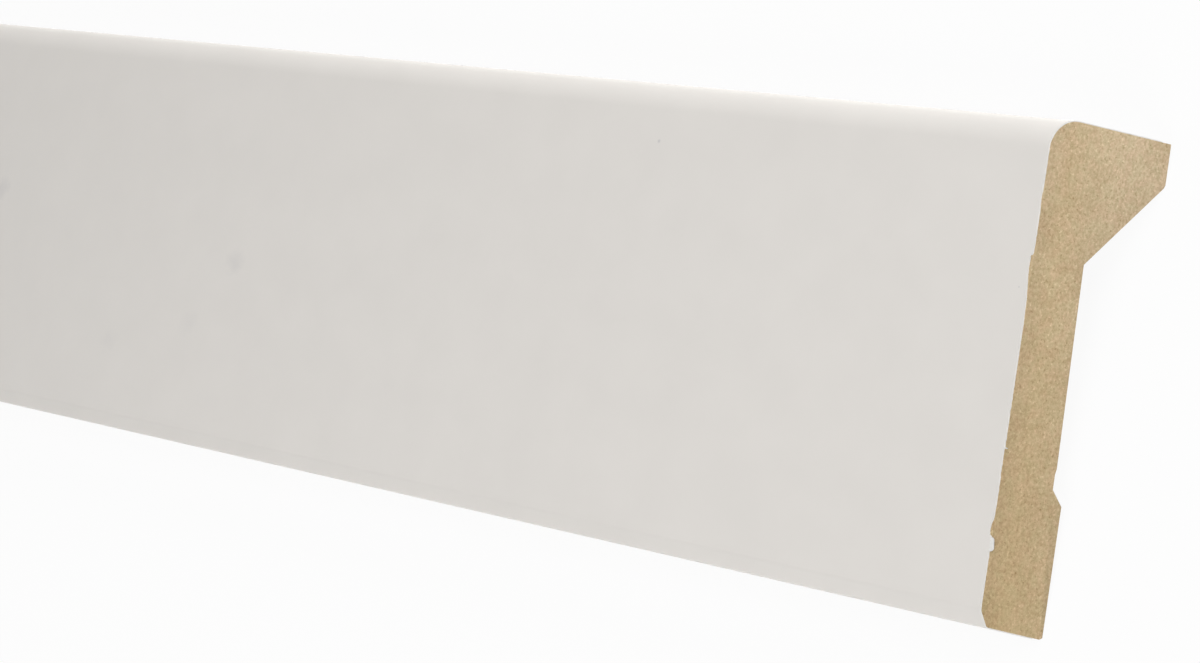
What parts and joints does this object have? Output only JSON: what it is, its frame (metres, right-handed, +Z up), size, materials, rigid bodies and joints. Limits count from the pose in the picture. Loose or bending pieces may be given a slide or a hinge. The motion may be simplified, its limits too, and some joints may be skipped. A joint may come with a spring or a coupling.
{
  "type": "wall trim strip",
  "caption": "Wide flat white-faced MDF cover strip for a wall foot, with a top hook, a hollow back, a lower pad and one end sawn at 45 degrees.",
  "frame": {"origin": "centre of the bounding box on the floor that the strip lies on", "axes": "+X along the strip towards its mitred end, +Y across it towards the hook edge, +Z up out of the white face"},
  "size_m": [2.4, 0.131, 0.0222],
  "materials": {
    "mdf": "raw sawn and milled fibreboard",
    "white_foil": "smooth satin white foil"
  },
  "bodies": {
    "root": {"mdf_core": "mdf", "face_foil": "white_foil"}
  },
  "joints": []
}
